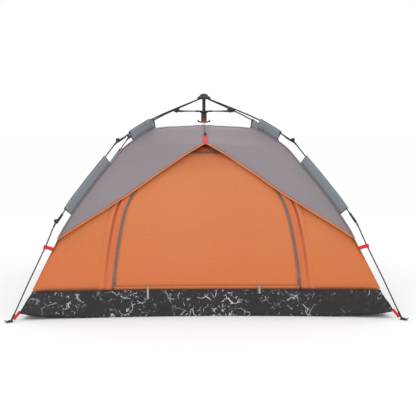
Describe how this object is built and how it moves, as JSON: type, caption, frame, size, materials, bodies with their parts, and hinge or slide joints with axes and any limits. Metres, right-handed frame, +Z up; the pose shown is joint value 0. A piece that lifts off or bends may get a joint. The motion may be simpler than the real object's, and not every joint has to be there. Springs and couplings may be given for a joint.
{
  "type": "pop up tent",
  "caption": "Hub-framed pop-up dome tent with folding jointed legs, grey fly, orange end walls, zipped front door and black bathtub floor.",
  "frame": {"origin": "on the ground at the middle of the footprint, straight under the hub", "axes": "+X to the right seen from the door side, +Y from the door to the rear wall, +Z up"},
  "size_m": [2.538, 2.2876, 1.452],
  "materials": {
    "moulded_black": "satin moulded",
    "tube_steel": "dark coated",
    "fibreglass": "smooth",
    "fly_cloth": "coated polyester weave",
    "sleeve_cloth": "coated polyester weave",
    "wall_cloth": "polyester weave",
    "floor_film": "crinkled film",
    "zip_metal": "painted dark grey"
  },
  "bodies": {
    "tent_body": {"floor_tub": "floor_film", "fly": "fly_cloth", "front_wall": "wall_cloth", "rear_wall": "wall_cloth", "rear_right_upper_sleeve": "sleeve_cloth", "rear_right_lower_sleeve": "sleeve_cloth", "rear_left_upper_sleeve": "sleeve_cloth", "rear_left_lower_sleeve": "sleeve_cloth", "front_left_upper_sleeve": "sleeve_cloth", "front_left_lower_sleeve": "sleeve_cloth", "front_right_upper_sleeve": "sleeve_cloth", "front_right_lower_sleeve": "sleeve_cloth"},
    "door": {"door": "wall_cloth"},
    "zip_left": {"zip_slider_left": "zip_metal"},
    "zip_right": {"zip_slider_right": "zip_metal"},
    "hub": {"hub_cap": "moulded_black", "hub_body": "moulded_black", "centre_tube": "tube_steel"},
    "slider": {"slider": "moulded_black", "pull_handle": "moulded_black"},
    "rear_right_arm": {"rear_right_arm": "tube_steel", "rear_right_bracket": "moulded_black", "rear_right_upper_knuckle": "moulded_black"},
    "rear_right_strut": {"rear_right_strut": "tube_steel"},
    "rear_right_middle": {"rear_right_upper_tongue": "moulded_black", "rear_right_middle_pole": "fibreglass", "rear_right_lower_knuckle": "moulded_black"},
    "rear_right_lower": {"rear_right_lower_tongue": "moulded_black", "rear_right_lower_pole": "fibreglass", "rear_right_foot": "moulded_black"},
    "rear_left_arm": {"rear_left_arm": "tube_steel", "rear_left_bracket": "moulded_black", "rear_left_upper_knuckle": "moulded_black"},
    "rear_left_strut": {"rear_left_strut": "tube_steel"},
    "rear_left_middle": {"rear_left_upper_tongue": "moulded_black", "rear_left_middle_pole": "fibreglass", "rear_left_lower_knuckle": "moulded_black"},
    "rear_left_lower": {"rear_left_lower_tongue": "moulded_black", "rear_left_lower_pole": "fibreglass", "rear_left_foot": "moulded_black"},
    "front_left_arm": {"front_left_arm": "tube_steel", "front_left_bracket": "moulded_black", "front_left_upper_knuckle": "moulded_black"},
    "front_left_strut": {"front_left_strut": "tube_steel"},
    "front_left_middle": {"front_left_upper_tongue": "moulded_black", "front_left_middle_pole": "fibreglass", "front_left_lower_knuckle": "moulded_black"},
    "front_left_lower": {"front_left_lower_tongue": "moulded_black", "front_left_lower_pole": "fibreglass", "front_left_foot": "moulded_black"},
    "front_right_arm": {"front_right_arm": "tube_steel", "front_right_bracket": "moulded_black", "front_right_upper_knuckle": "moulded_black"},
    "front_right_strut": {"front_right_strut": "tube_steel"},
    "front_right_middle": {"front_right_upper_tongue": "moulded_black", "front_right_middle_pole": "fibreglass", "front_right_lower_knuckle": "moulded_black"},
    "front_right_lower": {"front_right_lower_tongue": "moulded_black", "front_right_lower_pole": "fibreglass", "front_right_foot": "moulded_black"}
  },
  "joints": [
    {"name": "hub_drop", "type": "slide", "parent": "tent_body", "child": "hub", "axis": [0, 0, -1], "range_m": [0, 0.49], "deforming": ["fly", "front_wall", "rear_wall", "rear_right_upper_sleeve", "rear_right_lower_sleeve", "rear_left_upper_sleeve", "rear_left_lower_sleeve", "front_left_upper_sleeve", "front_left_lower_sleeve", "front_right_upper_sleeve", "front_right_lower_sleeve", "door"]},
    {"name": "slider_lift", "type": "slide", "parent": "hub", "child": "slider", "axis": [0, 0, 1], "range_m": [0, 0.08459]},
    {"name": "rear_right_arm_hinge", "type": "hinge", "parent": "hub", "child": "rear_right_arm", "pos_m": [0.02675, 0.02409, 1.4145], "axis": [-0.6691, 0.7431, 0], "range_deg": [0, 69.17]},
    {"name": "rear_right_strut_hinge", "type": "hinge", "parent": "slider", "child": "rear_right_strut", "pos_m": [0.01969, 0.01773, 1.3216], "axis": [-0.6691, 0.7431, 0], "range_deg": [0, 88.62]},
    {"name": "rear_right_upper_elbow", "type": "hinge", "parent": "rear_right_arm", "child": "rear_right_middle", "pos_m": [0.59823, 0.53865, 1.122], "axis": [0.6691, -0.7431, 0], "range_deg": [0, 194.07]},
    {"name": "rear_right_lower_elbow", "type": "hinge", "parent": "rear_right_middle", "child": "rear_right_lower", "pos_m": [0.97693, 0.86798, 0.60626], "axis": [-0.1532, -0.8108, -0.565], "range_deg": [0, 186.97]},
    {"name": "rear_left_arm_hinge", "type": "hinge", "parent": "hub", "child": "rear_left_arm", "pos_m": [-0.02675, 0.02409, 1.4145], "axis": [-0.6691, -0.7431, 0], "range_deg": [0, 69.17]},
    {"name": "rear_left_strut_hinge", "type": "hinge", "parent": "slider", "child": "rear_left_strut", "pos_m": [-0.01969, 0.01773, 1.3216], "axis": [-0.6691, -0.7431, 0], "range_deg": [0, 88.62]},
    {"name": "rear_left_upper_elbow", "type": "hinge", "parent": "rear_left_arm", "child": "rear_left_middle", "pos_m": [-0.59823, 0.53865, 1.122], "axis": [0.6691, 0.7431, 0], "range_deg": [0, 194.07]},
    {"name": "rear_left_lower_elbow", "type": "hinge", "parent": "rear_left_middle", "child": "rear_left_lower", "pos_m": [-0.96534, 0.88085, 0.60626], "axis": [0.8223, -0.0676, -0.565], "range_deg": [0, 186.97]},
    {"name": "front_left_arm_hinge", "type": "hinge", "parent": "hub", "child": "front_left_arm", "pos_m": [-0.02675, -0.02409, 1.4145], "axis": [0.6691, -0.7431, 0], "range_deg": [0, 69.17]},
    {"name": "front_left_strut_hinge", "type": "hinge", "parent": "slider", "child": "front_left_strut", "pos_m": [-0.01969, -0.01773, 1.3216], "axis": [0.6691, -0.7431, 0], "range_deg": [0, 88.62]},
    {"name": "front_left_upper_elbow", "type": "hinge", "parent": "front_left_arm", "child": "front_left_middle", "pos_m": [-0.59823, -0.53865, 1.122], "axis": [-0.6691, 0.7431, 0], "range_deg": [0, 194.07]},
    {"name": "front_left_lower_elbow", "type": "hinge", "parent": "front_left_middle", "child": "front_left_lower", "pos_m": [-0.97693, -0.86798, 0.60626], "axis": [0.1532, 0.8108, -0.565], "range_deg": [0, 186.97]},
    {"name": "front_right_arm_hinge", "type": "hinge", "parent": "hub", "child": "front_right_arm", "pos_m": [0.02675, -0.02409, 1.4145], "axis": [0.6691, 0.7431, 0], "range_deg": [0, 69.17]},
    {"name": "front_right_strut_hinge", "type": "hinge", "parent": "slider", "child": "front_right_strut", "pos_m": [0.01969, -0.01773, 1.3216], "axis": [0.6691, 0.7431, 0], "range_deg": [0, 88.62]},
    {"name": "front_right_upper_elbow", "type": "hinge", "parent": "front_right_arm", "child": "front_right_middle", "pos_m": [0.59823, -0.53865, 1.122], "axis": [-0.6691, -0.7431, 0], "range_deg": [0, 194.07]},
    {"name": "front_right_lower_elbow", "type": "hinge", "parent": "front_right_middle", "child": "front_right_lower", "pos_m": [0.96534, -0.88085, 0.60626], "axis": [-0.8223, 0.0676, -0.565], "range_deg": [0, 186.97]},
    {"name": "door_hinge", "type": "hinge", "parent": "tent_body", "child": "door", "pos_m": [0, -0.93371, 0.184], "axis": [-1, 0, 0], "range_deg": [0, 70]},
    {"name": "zip_left_run", "type": "hinge", "parent": "tent_body", "child": "zip_left", "pos_m": [1.10385, 0.08969, -0.21815], "axis": [-0.5456, 0.8014, -0.2451], "range_deg": [0, 14.67]},
    {"name": "zip_right_run", "type": "hinge", "parent": "tent_body", "child": "zip_right", "pos_m": [-1.10385, 0.08969, -0.21815], "axis": [-0.5456, -0.8014, 0.2451], "range_deg": [0, 14.67]}
  ],
  "couplings": [
    {"joint": "slider_lift", "follows": "hub_drop", "ratio": 0.17263},
    {"joint": "rear_right_arm_hinge", "follows": "hub_drop", "rad_per_m": 2.4639},
    {"joint": "rear_right_strut_hinge", "follows": "hub_drop", "rad_per_m": 3.1566},
    {"joint": "rear_right_upper_elbow", "follows": "hub_drop", "rad_per_m": 6.9126},
    {"joint": "rear_right_lower_elbow", "follows": "hub_drop", "rad_per_m": 6.6596},
    {"joint": "rear_left_arm_hinge", "follows": "hub_drop", "rad_per_m": 2.4639},
    {"joint": "rear_left_strut_hinge", "follows": "hub_drop", "rad_per_m": 3.1566},
    {"joint": "rear_left_upper_elbow", "follows": "hub_drop", "rad_per_m": 6.9126},
    {"joint": "rear_left_lower_elbow", "follows": "hub_drop", "rad_per_m": 6.6596},
    {"joint": "front_left_arm_hinge", "follows": "hub_drop", "rad_per_m": 2.4639},
    {"joint": "front_left_strut_hinge", "follows": "hub_drop", "rad_per_m": 3.1566},
    {"joint": "front_left_upper_elbow", "follows": "hub_drop", "rad_per_m": 6.9126},
    {"joint": "front_left_lower_elbow", "follows": "hub_drop", "rad_per_m": 6.6596},
    {"joint": "front_right_arm_hinge", "follows": "hub_drop", "rad_per_m": 2.4639},
    {"joint": "front_right_strut_hinge", "follows": "hub_drop", "rad_per_m": 3.1566},
    {"joint": "front_right_upper_elbow", "follows": "hub_drop", "rad_per_m": 6.9126},
    {"joint": "front_right_lower_elbow", "follows": "hub_drop", "rad_per_m": 6.6596}
  ]
}
